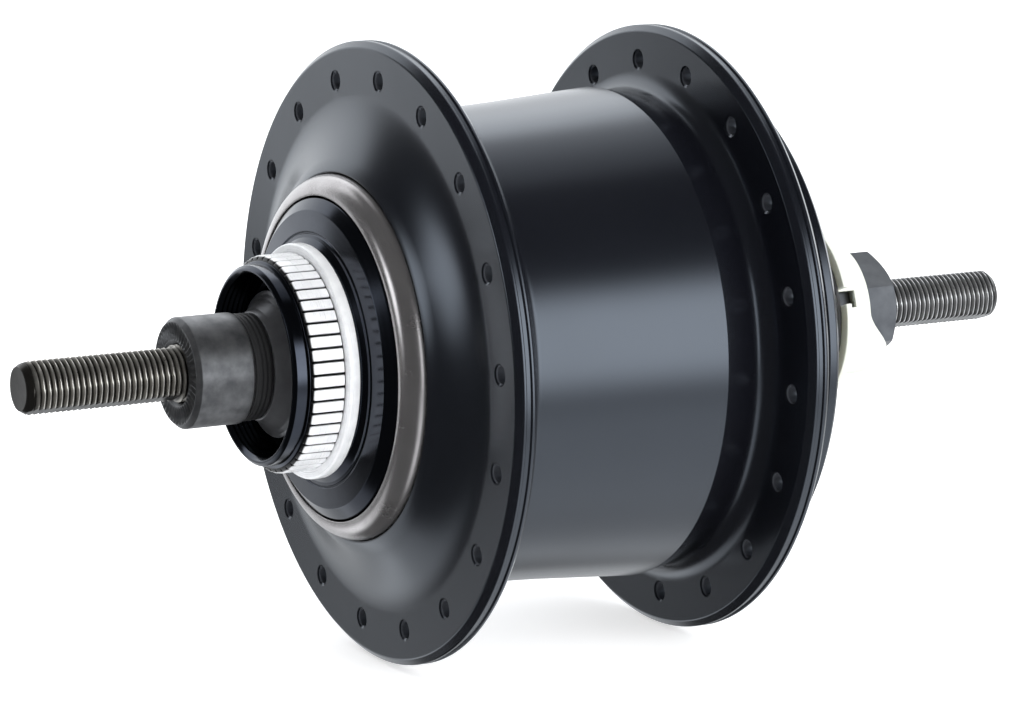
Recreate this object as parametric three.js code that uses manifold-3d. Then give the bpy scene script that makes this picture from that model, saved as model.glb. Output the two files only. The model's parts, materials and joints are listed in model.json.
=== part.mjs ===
import * as THREE from 'three';
import Module from 'manifold-3d';

// Geared bicycle hub, millimetres. The hub axis is Y: +Y is the brake side, -Y the drive side.
// +X points forwards and +Z up. The origin is on the axis, midway between the lock nut faces.

const wasm = await Module();
wasm.setup();
const TAU = Math.PI * 2;

// ---------------------------------------------------------------- driving dimensions
const OLD = 135;                 // distance over the lock nut faces
const AXLE_LENGTH = 187;
const AXLE_SHIFT = 1.3;          // the axle stands this much further out on the brake side
const AXLE_R = 4.7625;           // 3/8 inch thread
const AXLE_FLAT = 8.0;           // across the two flats at each end
const FLAT_FROM = OLD / 2 + 0.4;  // the flats start just outside the lock nuts
const AXLE_ROLL = 22 * Math.PI / 180;   // how far the flats are turned from level
const AXLE_CORE_R = 6.0;         // thick middle of the axle that the sun gears turn on
const BORE_R = 4.83;             // pieces screwed on the axle
const FIT = 0.03;                // radial gap of a pressed joint in the shell
const CUP_FIT = 0.12;            // the same for the two small bearing cups
const AXLE_SEG = 20;
const RING_SEG = 24;
const SHELL_SEG = 36;

const FLANGE_L = 32.2;           // outer face of the brake-side flange
const FLANGE_L_IN = 28.2;
const FLANGE_R = -21.7;          // inner face of the drive-side flange
const FLANGE_R_OUT = -25.8;
const FLANGE_RAD = 52.3;
const SPOKES = 18;               // holes in each flange
const SPOKE_PCD = 92.6;
const SPOKE_HOLE_R = 1.45;
const SPOKE_PHASE_L = 15.4;      // degrees from +Z towards +X
const SPOKE_PHASE_R = 5.3;
const SHELL_BORE = 27.0;         // seat of the disc mount
const SHELL_INNER = 36.9;

const SPLINE_TEETH = 52;
const SPLINE_TIP = 18.1;
const SPLINE_ROOT = 17.45;
const SPLINE_Y = [45.4, 51.3];

const BALL_R = 2.38;             // 3/16 inch balls of the two axle bearings
const BALL_PCR = 10.0;
const BALL_Y = 44.0;
const BALLS = 8;
const RIM_BALL_R = 1.98;         // 5/32 inch balls between driver and shell
const RIM_BALL_PCR = 33.9;
const RIM_BALL_Y = -29.1;
const RIM_BALLS = 10;

const PRESSURE = 25 * Math.PI / 180;
const BACKLASH = 0.2;            // mm at the pitch circle, on each pair
const LOW = { m: 1.15, ring: 54, big: 20, small: 10, sun: 24 };
const HIGH = { m: 1.2, ring: 51, mid: 15, small: 12, big: 21, sunMid: 21, sunSmall: 24, sunBig: 15 };
const LOW_A = LOW.m * (LOW.ring - LOW.big) / 2;      // planet circle of the low stage
const HIGH_A = HIGH.m * (HIGH.ring - HIGH.mid) / 2;  // planet circle of the high stage
const PIN_R = 2.5;
const PLANETS = 3;

const ROLLERS = 8;
const ROLLER_R = 2.0;
const ROLLER_PCR = 30.4;

// ---------------------------------------------------------------- shape helpers
function solid(verts, tris) {
  return new wasm.Manifold(new wasm.Mesh({
    numProp: 3,
    vertProperties: new Float32Array(verts),
    triVerts: new Uint32Array(tris),
  }));
}

function outward(verts, tris) {
  let vol = 0;
  for (let i = 0; i < tris.length; i += 3) {
    const [a, b, c] = [tris[i], tris[i + 1], tris[i + 2]].map((k) => verts.slice(3 * k, 3 * k + 3));
    vol += a[0] * (b[1] * c[2] - b[2] * c[1])
      - a[1] * (b[0] * c[2] - b[2] * c[0])
      + a[2] * (b[0] * c[1] - b[1] * c[0]);
  }
  if (vol < 0) {
    for (let i = 0; i < tris.length; i += 3) {
      [tris[i + 1], tris[i + 2]] = [tris[i + 2], tris[i + 1]];
    }
  }
  return solid(verts, tris);
}

// Closed ring: every [radius, y] point of the loop is swept once round the Y axis.
// shift(angle, point) may move a point's y, for ends that aren't square to the axis.
function ring(loop, seg = RING_SEG, shift = null) {
  const verts = [];
  const tris = [];
  const n = loop.length;
  for (let i = 0; i < seg; i += 1) {
    const a = TAU * i / seg;
    loop.forEach(([r, y], k) => {
      verts.push(r * Math.sin(a), shift ? shift(a, y, k) : y, r * Math.cos(a));
    });
  }
  for (let i = 0; i < seg; i += 1) {
    const j = (i + 1) % seg;
    for (let k = 0; k < n; k += 1) {
      const l = (k + 1) % n;
      tris.push(i * n + k, j * n + k, j * n + l, i * n + k, j * n + l, i * n + l);
    }
  }
  return outward(verts, tris);
}

// Solid of revolution whose profile starts and ends on the axis.
function spindle(profile, seg = RING_SEG) {
  const inner = profile.slice(1, -1);
  const n = inner.length;
  const verts = [];
  const tris = [];
  for (let i = 0; i < seg; i += 1) {
    const a = TAU * i / seg;
    inner.forEach(([r, y]) => verts.push(r * Math.sin(a), y, r * Math.cos(a)));
  }
  const first = seg * n;
  const last = first + 1;
  verts.push(0, profile[0][1], 0, 0, profile[profile.length - 1][1], 0);
  for (let i = 0; i < seg; i += 1) {
    const j = (i + 1) % seg;
    for (let k = 0; k < n - 1; k += 1) {
      tris.push(i * n + k, j * n + k, j * n + k + 1, i * n + k, j * n + k + 1, i * n + k + 1);
    }
    tris.push(first, j * n, i * n);
    tris.push(last, i * n + n - 1, j * n + n - 1);
  }
  return outward(verts, tris);
}

// Prism along Y of an [x, z] outline, with an optional hole outline.
function prism(outline, y0, y1, hole = null) {
  const toV = (p) => p.map(([x, z]) => new THREE.Vector2(x, z));
  let outer = toV(outline);
  if (THREE.ShapeUtils.isClockWise(outer)) outer = outer.reverse();
  let inner = hole ? toV(hole) : [];
  if (hole && !THREE.ShapeUtils.isClockWise(inner)) inner = inner.reverse();
  const faces = THREE.ShapeUtils.triangulateShape(outer, hole ? [inner] : []);
  const all = outer.concat(inner);
  const n = all.length;
  const verts = [];
  const tris = [];
  all.forEach((p) => verts.push(p.x, y0, p.y));
  all.forEach((p) => verts.push(p.x, y1, p.y));
  faces.forEach(([a, b, c]) => {
    tris.push(a, b, c);
    tris.push(n + a, n + c, n + b);
  });
  const walls = (start, count) => {
    for (let i = 0; i < count; i += 1) {
      const a = start + i;
      const b = start + (i + 1) % count;
      tris.push(b, a, n + a, b, n + a, n + b);
    }
  };
  walls(0, outer.length);
  if (hole) walls(outer.length, inner.length);
  return outward(verts, tris);
}

function circle(r, seg, cx = 0, cz = 0) {
  const pts = [];
  for (let i = 0; i < seg; i += 1) {
    const a = TAU * i / seg;
    pts.push([cx + r * Math.sin(a), cz + r * Math.cos(a)]);
  }
  return pts;
}

// Arc-shaped block between two radii and two angles (degrees from +Z towards +X).
function arcBlock(r0, r1, y0, y1, from, to, seg = 8) {
  const pts = [];
  for (let i = 0; i <= seg; i += 1) {
    const a = (from + (to - from) * i / seg) * Math.PI / 180;
    pts.push([r1 * Math.sin(a), r1 * Math.cos(a)]);
  }
  for (let i = seg; i >= 0; i -= 1) {
    const a = (from + (to - from) * i / seg) * Math.PI / 180;
    pts.push([r0 * Math.sin(a), r0 * Math.cos(a)]);
  }
  return prism(pts, y0, y1);
}

function ball(r, x, y, z) {
  const rows = 3;
  const seg = 6;
  const profile = [];
  for (let i = 0; i <= rows; i += 1) {
    const a = Math.PI * i / rows;
    profile.push([r * Math.sin(a), -r * Math.cos(a)]);
  }
  return spindle(profile, seg).translate([x, y, z]);
}

const inv = (a) => Math.tan(a) - a;

// Involute gear outline. thin > 0 narrows the teeth; an internal gear is cut with thin < 0.
function gearOutline(teeth, m, { add = 0.8, ded = 1.0, thin = BACKLASH / 2, phase = 0 } = {}) {
  const rp = m * teeth / 2;
  const rb = rp * Math.cos(PRESSURE);
  const ra = rp + add * m;
  const rf = rp - ded * m;
  const half = (r) => {
    const c = Math.min(1, rb / Math.max(r, rb));
    return Math.PI / (2 * teeth) - thin / (2 * rp) + inv(PRESSURE) - inv(Math.acos(c));
  };
  const radii = [rf, ra];
  const pts = [];
  for (let t = 0; t < teeth; t += 1) {
    const c = phase + TAU * t / teeth;
    radii.forEach((r) => pts.push([r, c - half(r)]));
    radii.slice().reverse().forEach((r) => pts.push([r, c + half(r)]));
  }
  return pts.map(([r, a]) => [r * Math.sin(a), r * Math.cos(a)]);
}

// A planet sits at angle 0 (+Z). These give the turn that puts its teeth in mesh.
const meshSun = (planet) => Math.PI + (TAU / planet) * 0.5;
const meshRing = () => 0;

function ringHole(teeth, m) {
  return gearOutline(teeth, m, { add: 1.0, ded: 0.8, thin: -BACKLASH / 2 });
}

function about(body, k, count, offset = 0) {
  return body.rotate([0, 360 * k / count + offset, 0]);
}

// ---------------------------------------------------------------- mesh output
const group = new THREE.Group();
group.name = 'geared_hub';

function place(name, body, colour, metalness, roughness) {
  const mesh = body.getMesh();
  const g = new THREE.BufferGeometry();
  const p = new Float32Array(mesh.triVerts.length * 3);
  mesh.triVerts.forEach((v, i) => {
    for (let k = 0; k < 3; k += 1) p[3 * i + k] = mesh.vertProperties[v * mesh.numProp + k];
  });
  g.setAttribute('position', new THREE.BufferAttribute(p, 3));
  g.computeVertexNormals();
  const material = new THREE.MeshStandardMaterial({ color: colour, metalness, roughness });
  material.name = name;
  const out = new THREE.Mesh(g, material);
  out.name = name;
  group.add(out);
}

const STEEL = [0x8a8c8f, 0.9, 0.35];
const DARK_STEEL = [0x4b4c4f, 0.85, 0.45];
const GEAR_STEEL = [0x9a9da1, 0.95, 0.3];
const BRIGHT = [0xd5d7da, 0.95, 0.22];
const BLACK = [0x1b1c20, 0.5, 0.4];
const RUBBER = [0x2b2a2a, 0.0, 0.8];

// ---------------------------------------------------------------- axle assembly
const TIP_BRAKE = AXLE_LENGTH / 2 + AXLE_SHIFT;
const TIP_DRIVE = AXLE_LENGTH / 2 - AXLE_SHIFT;
let axle = spindle([
  [0, -TIP_DRIVE], [AXLE_R - 1.1, -TIP_DRIVE], [AXLE_R, -TIP_DRIVE + 1.2], [AXLE_R, -18.9],
  [AXLE_CORE_R, -18.9], [AXLE_CORE_R, 27], [8.0, 27], [8.0, 29.5], [AXLE_R, 30.5],
  [AXLE_R, TIP_BRAKE - 1.2], [AXLE_R - 1.1, TIP_BRAKE], [0, TIP_BRAKE],
], AXLE_SEG);
for (const end of [-1, 1]) {
  for (const side of [-1, 1]) {
    const block = prism([[-8, AXLE_FLAT / 2], [8, AXLE_FLAT / 2], [8, 8], [-8, 8]],
      Math.min(end * FLAT_FROM, end * 100), Math.max(end * FLAT_FROM, end * 100));
    const turn = AXLE_ROLL * 180 / Math.PI + (side > 0 ? 180 : 0);
    axle = axle.subtract(block.rotate([0, turn, 0]));
  }
}
// pockets for the two sun pawls
const PAWL_Y = { low: [-17, -13.4], high: [0, 3.2] };
const pawlPocket = ([y0, y1]) => prism([[-1.6, 4.4], [1.6, 4.4], [1.6, 7], [-1.6, 7]], y0 - 0.15, y1 + 0.15);
axle = axle.subtract(pawlPocket(PAWL_Y.low)).subtract(pawlPocket(PAWL_Y.high));
place('axle', axle, ...DARK_STEEL);

place('lock_nut_brake', ring([
  [BORE_R, 57.0], [8.7, 57.0], [9.2, 57.5], [9.2, 66.8], [8.5, OLD / 2], [BORE_R, OLD / 2],
], AXLE_SEG), ...DARK_STEEL);
place('boot_brake', ring([
  [BORE_R, 53.8], [8.7, 53.8], [8.9, 54.2], [8.9, 56.5], [8.7, 56.95], [BORE_R, 56.95],
], AXLE_SEG), ...RUBBER);
place('dust_cap_brake', ring([
  [BORE_R, 50.5], [10.3, 50.5], [12.2, 49.8], [12.2, 50.25], [11.0, 51.0],
  [9.5, 52.7], [8.9, 53.75], [BORE_R, 53.75],
], AXLE_SEG), ...DARK_STEEL);

// race of a ball bearing as an arc about the ball centre, in [radius, y]
function race(r0, y0, rad, from, to, steps) {
  const pts = [];
  for (let i = 0; i <= steps; i += 1) {
    const a = (from + (to - from) * i / steps) * Math.PI / 180;
    pts.push([r0 + rad * Math.cos(a), y0 + rad * Math.sin(a)]);
  }
  return pts;
}
const RACE_R = BALL_R + 0.08;
place('cone_brake', ring([
  [BORE_R, 41.6], [7.3, 41.6], ...race(BALL_PCR, BALL_Y, RACE_R, 188, 105, 3),
  [10.0, 46.6], [10.0, 49.5], [8.8, 50.4], [BORE_R, 50.4],
], AXLE_SEG), ...STEEL);

// ---------------------------------------------------------------- shell and brake-side pieces
const trumpet = [32, 37, 43.5].map((r) => [r, FLANGE_L + 5.1 * ((43.5 - r) / 12) ** 1.7]);
let shell = ring([
  [30.75, 37.4], ...trumpet,
  [51.2, FLANGE_L], [FLANGE_RAD, FLANGE_L - 1], [FLANGE_RAD, FLANGE_L_IN + 1], [51.2, FLANGE_L_IN],
  [44.4, FLANGE_L_IN], [40.9, 26.4], [39.8, 21.5], [40.7, 6], [42.15, -12.2],
  [41.1, -17.4], [42.0, -20.2], [44.6, FLANGE_R],
  [51.2, FLANGE_R], [FLANGE_RAD, FLANGE_R - 1], [FLANGE_RAD, FLANGE_R_OUT + 1], [51.2, FLANGE_R_OUT],
  [43.4, FLANGE_R_OUT], [43, -29.6], [38.6, -29.6], [38.6, -24.4], [SHELL_INNER, -24.4],
  [SHELL_INNER, 26], [34.5, 30.2], [SHELL_BORE, 30.2], [SHELL_BORE, 33.4],
  [30.75, 33.4],
], SHELL_SEG);
function spokeHoles(phase, y0, y1) {
  const holes = [];
  for (let i = 0; i < SPOKES; i += 1) {
    const a = phase * Math.PI / 180 + TAU * i / SPOKES;
    const c = circle(SPOKE_HOLE_R, 6, SPOKE_PCD / 2 * Math.sin(a), SPOKE_PCD / 2 * Math.cos(a));
    holes.push(prism(c, y0, y1));
  }
  return holes;
}
for (const h of spokeHoles(SPOKE_PHASE_L, FLANGE_L_IN - 1, FLANGE_L + 1)) shell = shell.subtract(h);
for (const h of spokeHoles(SPOKE_PHASE_R, FLANGE_R_OUT - 1, FLANGE_R + 1)) shell = shell.subtract(h);
place('hub_shell', shell, ...BLACK);

// rotor mount in two solids: the black plate, and the bright splined sleeve with a cup for the lock ring
place('disc_mount', ring([
  [19.6, 43.4], [20.4, 42.5], [24.9, 41.95], [SHELL_BORE - 0.15, 40.6], [SHELL_BORE - 0.15, 30.4],
  [21.5, 30.4], [13.4, 38.6], [13.4, 43.4],
], 28), ...BLACK);
const SPLINE_BASE = SPLINE_ROOT - 0.2;
let sleeve = ring([
  [15.4, 53.9], [16.65, 53.4], [16.65, 51.5], [SPLINE_BASE, 51.2],
  [SPLINE_BASE, 45.4], [19.6, 45.4], [19.6, 43.45], [13.4, 43.45], [13.4, 47.2], [15.2, 47.2],
], 28);
const splineTeeth = [];
for (let t = 0; t < SPLINE_TEETH; t += 1) {
  const step = TAU / SPLINE_TEETH;
  for (const [r, f] of [[SPLINE_ROOT, 0.0], [SPLINE_TIP, 0.16], [SPLINE_TIP, 0.84]]) {
    splineTeeth.push([r * Math.sin((t + f) * step), r * Math.cos((t + f) * step)]);
  }
}
sleeve = sleeve.add(prism(splineTeeth, SPLINE_Y[0] - 0.2, SPLINE_Y[1], circle(16.2, 14)));
place('rotor_sleeve', sleeve, ...BRIGHT);

place('seal_ring_brake', ring([
  [27.1, 33.5], [30.6, 33.5], [30.6, 37.4], [29.7, 39.6], [28.4, 40.6], [27.3, 40.6],
], SHELL_SEG), ...STEEL);

place('bearing_cup_brake', ring([
  [13.4 - CUP_FIT, 39.2], [13.4 - CUP_FIT, 46.6], [12.5, 46.6],
  ...race(BALL_PCR, BALL_Y, RACE_R, 12, -78, 3), [9.6, 41.3], [9.6, 39.2],
], RING_SEG), ...STEEL);

// balls held in a pressed cage, made as one piece; dr and dy say where the cage ring runs
function retainer(rBall, pcr, y, count, dr, dy) {
  const [r0, y0] = [pcr + dr, y + dy];
  let out = ring([
    [r0 - 0.42, y0 - 0.45], [r0 + 0.42, y0 - 0.45], [r0 + 0.42, y0 + 0.45], [r0 - 0.42, y0 + 0.45],
  ], 2 * count);
  for (let i = 0; i < count; i += 1) {
    const a = TAU * i / count;
    out = out.add(ball(rBall, pcr * Math.sin(a), y, pcr * Math.cos(a)));
  }
  return out;
}
place('ball_retainer_brake', retainer(BALL_R, BALL_PCR, BALL_Y, BALLS, 1.45, 1.45), ...STEEL);

// ---------------------------------------------------------------- drive-side end pieces
place('end_cover', ring([
  [36.2, -29.75], [43.2, -29.75], [44.1, -30.6], [44.1, -32.0], [43.0, -33.0], [35.0, -33.4],
  [35.0, -31.4], [36.2, -31.4],
], SHELL_SEG), ...BLACK);
place('bearing_cup_drive', ring([
  [38.6 - FIT, -29.6], [38.6 - FIT, -24.7], [36.2, -24.7], [34.9, -26.5],
  ...race(RIM_BALL_PCR, RIM_BALL_Y, RIM_BALL_R + 0.08, 76, -12, 2),
], SHELL_SEG), ...STEEL);
place('ball_retainer_shell', retainer(RIM_BALL_R, RIM_BALL_PCR, RIM_BALL_Y, RIM_BALLS, -1.15, 1.2), ...STEEL);

let driver = ring([
  [13.4, -50.0], [16.6, -50.0], [17.3, -49.4], [17.3, -47.3], [16.3, -47.3], [16.3, -46.0],
  [17.3, -46.0], [17.3, -37.2], [19.2, -37.2], [19.2, -34.6], [32.6, -32.5],
  ...race(RIM_BALL_PCR, RIM_BALL_Y, RIM_BALL_R + 0.08, 248, 190, 2), [31.7, -25.5],
  [28.5, -25.5], [28.5, -27.3], [11.6, -38], [11.6, -39.1], [13.4, -39.1],
], 30);
const NOTCHES = 3;
for (let i = 0; i < NOTCHES; i += 1) {
  const cut = prism([[-3, 15.6], [3, 15.6], [3, 19.5], [-3, 19.5]], -51, -37.4);
  driver = driver.subtract(about(cut, i, NOTCHES, 60));
}
place('driver', driver, ...DARK_STEEL);
place('bearing_cup_driver', ring([
  [13.4 - CUP_FIT, -39.25], [13.4 - CUP_FIT, -46.6], [12.5, -46.6],
  ...race(BALL_PCR, -BALL_Y, RACE_R, -12, 78, 3), [9.6, -41.3], [9.6, -39.25],
], RING_SEG), ...STEEL);
place('ball_retainer_drive', retainer(BALL_R, BALL_PCR, -BALL_Y, BALLS, 1.45, -1.45), ...STEEL);
const snap = arcBlock(16.55, 18.7, -47.2, -46.1, 16, 344, 20);
place('snap_ring', snap, ...BRIGHT);
place('driver_cap', ring([
  [10.6, -51.2], [10.6, -50.1], [12.4, -48.2], [13.2, -48.2], [13.2, -50.1], [16.6, -50.1],
  [15.8, -51.2],
], RING_SEG), ...BLACK);
place('driver_shield', ring([
  [19.6, -34.8], [34.4, -32.9], [34.6, -33.5], [19.6, -35.5],
], 30), ...BLACK);

// right cone with two arc slots for the shifter arms
const SHIFT_TRAVEL = 100;
const ARM = 20;
const SLOT = SHIFT_TRAVEL + ARM + 8;
let coneDrive = ring([
  [BORE_R, -41.6], [7.6, -41.6], ...race(BALL_PCR, -BALL_Y, RACE_R, 172, 255, 3),
  [9.9, -46.6], [9.9, -51.4], [8.1, -51.7], [8.1, -60.0], [BORE_R, -60.0],
], AXLE_SEG);
for (const from of [-4, 176]) {
  coneDrive = coneDrive
    .subtract(arcBlock(5.15, 7.0, -57.3, -41, from - ARM / 2, from - ARM / 2 + SLOT, 6))
    .subtract(arcBlock(5.15, 9, -57.3, -53.0, from - ARM / 2, from - ARM / 2 + SLOT, 6));
}
place('cone_drive', coneDrive, ...STEEL);
let shiftRing = ring([[8.45, -57.0], [10.0, -57.0], [10.0, -52.6], [8.45, -52.6]], RING_SEG);
for (let i = 0; i < 3; i += 1) {
  shiftRing = shiftRing.add(arcBlock(9.6, 10.6, -57.0, -54.2, 120 * i - 12, 120 * i + 12, 3));
}
for (const at of [0, 180]) {
  shiftRing = shiftRing.add(arcBlock(5.25, 8.9, -57.0, -53.3, at - ARM / 2, at + ARM / 2, 3));
  shiftRing = shiftRing.add(arcBlock(5.25, 6.7, -56.9, -41.3, at - ARM / 2, at + ARM / 2, 3));
}
place('shift_ring', shiftRing, ...STEEL);
let shiftCam = ring([[5.25, -40.8], [6.7, -40.8], [6.7, -19.5], [5.25, -19.5]], AXLE_SEG);
for (const from of [25, 205]) {
  shiftCam = shiftCam.subtract(arcBlock(5, 7.5, -24.5, -19, from, from + 80, 6));
}
place('shift_cam', shiftCam, ...GEAR_STEEL);

// moulded keeper: flange, body and a skirt whose end drops on the lower half
const SKIRT = 4.6;
const SKIRT_FROM = 182;          // degrees from +Z towards +X where the skirt is full
const keeperEnd = (a, y, k) => {
  if (k !== 3 && k !== 4) return y;
  const deg = ((a * 180 / Math.PI) % 360 + 360) % 360;
  const off = Math.abs(deg - SKIRT_FROM);
  const t = Math.min(1, Math.max(0, (94 - off) / 40));
  return y - SKIRT * t;
};
let keeper = ring([
  [17.2, -51.5], [17.2, -52.7], [11.7, -52.9], [11.7, -60.0], [10.9, -60.0], [10.7, -60.0],
  [8.3, -60.0], [8.3, -57.6], [10.9, -57.6], [10.9, -51.5],
], 24, keeperEnd);
keeper = keeper.subtract(prism([[-18, -1.5], [-10, -1.5], [-10, 1.5], [-18, 1.5]], -57, -50)
  .rotate([0, 19, 0]));
place('joint_keeper', keeper, 0xf1eee2, 0.0, 0.45);

// hexagon lock nut, corners turned off at both faces
const NUT_AF = 17;
const NUT_CORNER = NUT_AF / 2 / Math.cos(Math.PI / 6);
const hex = [];
for (let i = 0; i < 6; i += 1) {
  const a = TAU * i / 6;
  hex.push([NUT_CORNER * Math.sin(a), NUT_CORNER * Math.cos(a)]);
}
const nutTurn = spindle([
  [0, -OLD / 2], [8.3, -OLD / 2], [9.83, -66.6], [9.83, -61.1], [9.0, -60.1], [0, -60.1],
], AXLE_SEG);
let nut = prism(hex, -OLD / 2, -60.1).intersect(nutTurn);
nut = nut.subtract(spindle([[0, -70], [BORE_R, -70], [BORE_R, -58], [0, -58]], AXLE_SEG));
place('lock_nut_drive', nut, ...STEEL);

// ---------------------------------------------------------------- low planetary stage
const ringLow = prism(circle(35.4, 28), -25.3, -17.8, ringHole(LOW.ring, LOW.m));
place('ring_gear_low', ringLow, ...GEAR_STEEL);

function sunBore(notches) {
  if (!notches) return circle(6.35, 16);
  const pts = [];
  const n = 16;
  for (let i = 0; i < n; i += 1) {
    const a = TAU * i / n;
    pts.push([6.35 * Math.sin(a), 6.35 * Math.cos(a)]);
    if (i === 0) {
      pts.push([7.25 * Math.sin(0.02), 7.25 * Math.cos(0.02)]);
      pts.push([7.0 * Math.sin(0.2), 7.0 * Math.cos(0.2)]);
    }
  }
  return pts;
}
place('sun_gear_low', prism(gearOutline(LOW.sun, LOW.m), -18.0, -12.4, sunBore(true)), ...GEAR_STEEL);

function carrier(rPlate, bore, plates, a, pins) {
  const [[p0, p1], [q0, q1]] = plates;
  const plate = (y0, y1) => prism(circle(rPlate, 18), y0, y1, circle(bore, 12));
  let out = plate(p0, p1).add(plate(q0, q1));
  for (let i = 0; i < PLANETS; i += 1) {
    out = out.add(about(prism(circle(3.2, 6, 0, a + 1.5), p1 - 0.5, q0 + 0.5), i, PLANETS, 60));
    const hole = prism(circle(PIN_R + 0.03, 8, 0, a), pins[0] - 3, pins[1] + 3);
    out = out.subtract(about(hole, i, PLANETS));
  }
  return out;
}
const PIN_LOW = [-26.5, -10.0];
place('carrier_low', carrier(25.5, 7.1, [[-26.6, -24.6], [-11.8, -9.9]], LOW_A, PIN_LOW), ...STEEL);
for (let i = 0; i < PLANETS; i += 1) {
  const bore = circle(PIN_R + 0.27, 8);
  let p = prism(gearOutline(LOW.big, LOW.m, { phase: meshRing() }), -24.2, -18.5, bore);
  const small = gearOutline(LOW.small, LOW.m, { phase: meshSun(LOW.small) });
  p = p.add(prism(small, -18.6, -12.3, bore)).translate([0, 0, LOW_A]);
  place(`planet_low_${i + 1}`, about(p, i, PLANETS), ...GEAR_STEEL);
  const pin = prism(circle(PIN_R, 8, 0, LOW_A), ...PIN_LOW);
  place(`pin_low_${i + 1}`, about(pin, i, PLANETS), ...BRIGHT);
}

// ---------------------------------------------------------------- high planetary stage
const Y_BIG = [-6.6, -1.4];
const Y_SMALL = [-1.4, 4.5];
const Y_MID = [4.5, 11.2];
place('sun_gear_big', prism(gearOutline(HIGH.sunBig, HIGH.m, { phase: 0 }), -6.4, -1.7, sunBore(false)),
  ...GEAR_STEEL);
place('sun_gear_small', prism(gearOutline(HIGH.sunSmall, HIGH.m), -0.9, 4.0, sunBore(true)), ...GEAR_STEEL);
place('sun_gear_mid', prism(gearOutline(HIGH.sunMid, HIGH.m), 4.9, 11.0, sunBore(false)), ...GEAR_STEEL);
const PIN_HIGH = [-9.0, 13.4];
place('carrier_high', carrier(27, 8.2, [[-9.2, -7.3], [11.8, 13.6]], HIGH_A, PIN_HIGH), ...STEEL);
for (let i = 0; i < PLANETS; i += 1) {
  const bore = circle(PIN_R + 0.27, 8);
  const step = (z, y, phase) => prism(gearOutline(z, HIGH.m, { phase }), y[0], y[1], bore);
  let p = step(HIGH.big, Y_BIG, meshSun(HIGH.big));
  p = p.add(step(HIGH.small, [Y_SMALL[0] - 0.1, Y_SMALL[1]], meshSun(HIGH.small)));
  p = p.add(step(HIGH.mid, [Y_MID[0] - 0.1, Y_MID[1]], meshRing()));
  p = p.translate([0, 0, HIGH_A]);
  place(`planet_high_${i + 1}`, about(p, i, PLANETS), ...GEAR_STEEL);
  const pin = prism(circle(PIN_R, 8, 0, HIGH_A), ...PIN_HIGH);
  place(`pin_high_${i + 1}`, about(pin, i, PLANETS), ...BRIGHT);
}
let ringHigh = prism(circle(34.6, 28), 4.7, 11.5, ringHole(HIGH.ring, HIGH.m));
ringHigh = ringHigh.add(ring([
  [34.6, 11.3], [34.6, 16.4], [26.8, 16.4], [26.8, 24.5], [24.2, 24.5], [24.2, 14.5], [32.4, 14.3],
  [32.4, 11.3],
], 28));
place('ring_gear_high', ringHigh, ...GEAR_STEEL);

// ---------------------------------------------------------------- roller clutch
const camOutline = [];
for (let i = 0; i < ROLLERS; i += 1) {
  for (const [r, f] of [[28.25, -0.32], [28.25, 0.1], [28.25, 0.3], [29.3, 0.36], [29.3, 0.6]]) {
    const a = TAU * (i + f) / ROLLERS;
    camOutline.push([r * Math.sin(a), r * Math.cos(a)]);
  }
}
place('clutch_cam', prism(camOutline, 17.2, 24.5, circle(27.2, 28)), ...STEEL);
let cage = ring([[29.7, 24.8], [31.9, 24.8], [31.9, 25.8], [29.7, 25.8]], 16);
for (let i = 0; i < ROLLERS; i += 1) {
  cage = cage.add(about(prism(circle(ROLLER_R, 6, 0, ROLLER_PCR), 17.4, 25.3), i, ROLLERS));
}
place('roller_cage', cage, ...BRIGHT);
place('clutch_race', ring([
  [32.6, 17.0], [SHELL_INNER - FIT, 17.0], [SHELL_INNER - FIT, 25.9], [32.6, 25.9],
], SHELL_SEG), ...STEEL);

// ---------------------------------------------------------------- pawls and return spring
function pawl([y0, y1]) {
  return prism([[-1.45, 4.55], [1.2, 4.55], [1.5, 5.9], [0.9, 6.75], [0.45, 6.15], [-1.45, 5.7]], y0, y1);
}
place('pawl_low', pawl(PAWL_Y.low), ...BRIGHT);
place('pawl_high', pawl(PAWL_Y.high), ...BRIGHT);

const SPRING_TURNS = 3;
class Helix extends THREE.Curve {
  getPoint(t) {
    const a = TAU * SPRING_TURNS * t;
    return new THREE.Vector3(9.0 * Math.sin(a), 17.6 + 8.2 * t, 9.0 * Math.cos(a));
  }
}
function coil(curve, steps, sides, r) {
  const verts = [];
  const tris = [];
  for (let i = 0; i <= steps; i += 1) {
    const c = curve.getPoint(i / steps);
    const a = TAU * SPRING_TURNS * i / steps;
    for (let k = 0; k < sides; k += 1) {
      const b = TAU * k / sides;
      const rr = 9.0 + r * Math.cos(b);
      verts.push(rr * Math.sin(a), c.y + r * Math.sin(b), rr * Math.cos(a));
    }
  }
  for (let i = 0; i < steps; i += 1) {
    for (let k = 0; k < sides; k += 1) {
      const l = (k + 1) % sides;
      const [a, b] = [i * sides, (i + 1) * sides];
      tris.push(a + k, b + k, b + l, a + k, b + l, a + l);
    }
  }
  for (let k = 1; k < sides - 1; k += 1) {
    const e = steps * sides;
    tris.push(0, k, k + 1);
    tris.push(e, e + k + 1, e + k);
  }
  return outward(verts, tris);
}
place('return_spring', coil(new Helix(), 30, 5, 0.8), ...BRIGHT);

export default group;
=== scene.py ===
import json
import math

import bmesh
import bpy
from mathutils import Matrix, Vector


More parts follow.
